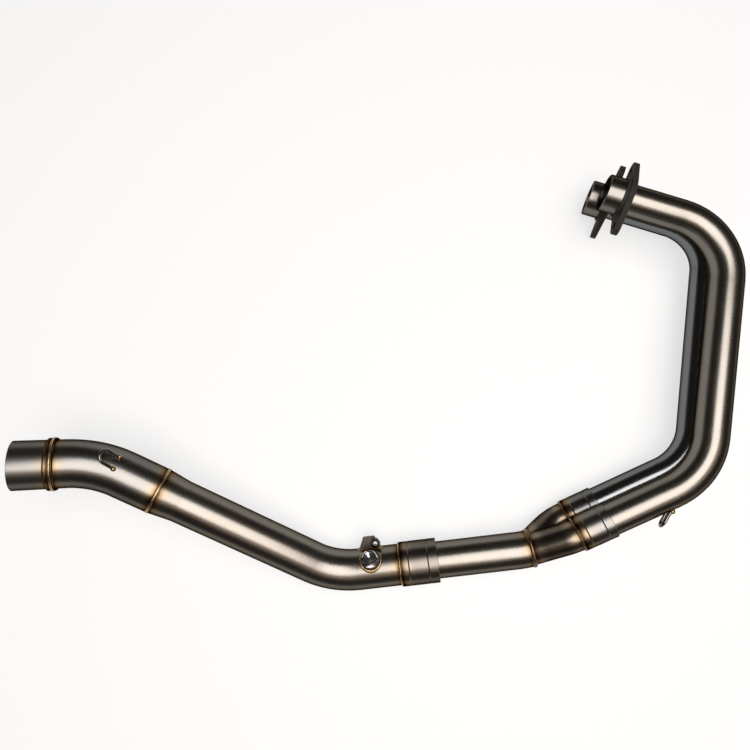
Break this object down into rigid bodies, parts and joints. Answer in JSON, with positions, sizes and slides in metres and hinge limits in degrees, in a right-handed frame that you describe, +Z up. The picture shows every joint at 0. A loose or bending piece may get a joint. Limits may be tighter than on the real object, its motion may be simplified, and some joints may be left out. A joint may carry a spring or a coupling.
{
  "type": "motorcycle exhaust header",
  "caption": "Two-into-one exhaust header of bent, welded stainless tube, with slip joint, sensor bung, spring hooks and port flanges",
  "frame": {"origin": "middle of the bounding box in plan, on the floor the header lies on", "axes": "+X from the silencer outlet to the front bend of the head pipes, +Y from the collector to the ports, +Z up as it lies on its left side"},
  "size_m": [0.7859, 0.4976, 0.1403],
  "materials": {
    "stainless": "satin polished stainless tube",
    "dark_steel": "dark steel as welded",
    "weld": "straw-gold heat-tinted weld",
    "black_flange": "matt black heat-proof paint",
    "plated": "bright plating"
  },
  "bodies": {
    "root": {"outlet_spigot": "stainless", "outlet_weld": "weld", "tail_pipe": "stainless", "tail_hook": "stainless", "tail_hook_weld": "weld", "tail_weld": "weld", "link_pipe": "stainless", "sensor_bung": "dark_steel", "sensor_bung_weld": "weld", "sensor_plug": "plated", "stay_tab": "dark_steel", "stay_tab_weld": "weld", "stay_nut": "plated", "link_sleeve": "stainless", "link_sleeve_weld": "weld", "collector_pipe": "stainless", "collector_weld": "weld", "right_branch": "stainless", "left_branch": "stainless", "branch_seam_weld": "weld", "right_sleeve": "stainless", "right_sleeve_weld": "weld", "left_sleeve": "stainless", "left_sleeve_weld": "weld", "right_head_pipe": "stainless", "head_hook": "stainless", "head_hook_weld": "weld", "left_head_pipe": "stainless", "right_port_collar": "stainless", "left_port_collar": "stainless", "right_flange": "black_flange", "left_flange": "black_flange"}
  },
  "joints": []
}
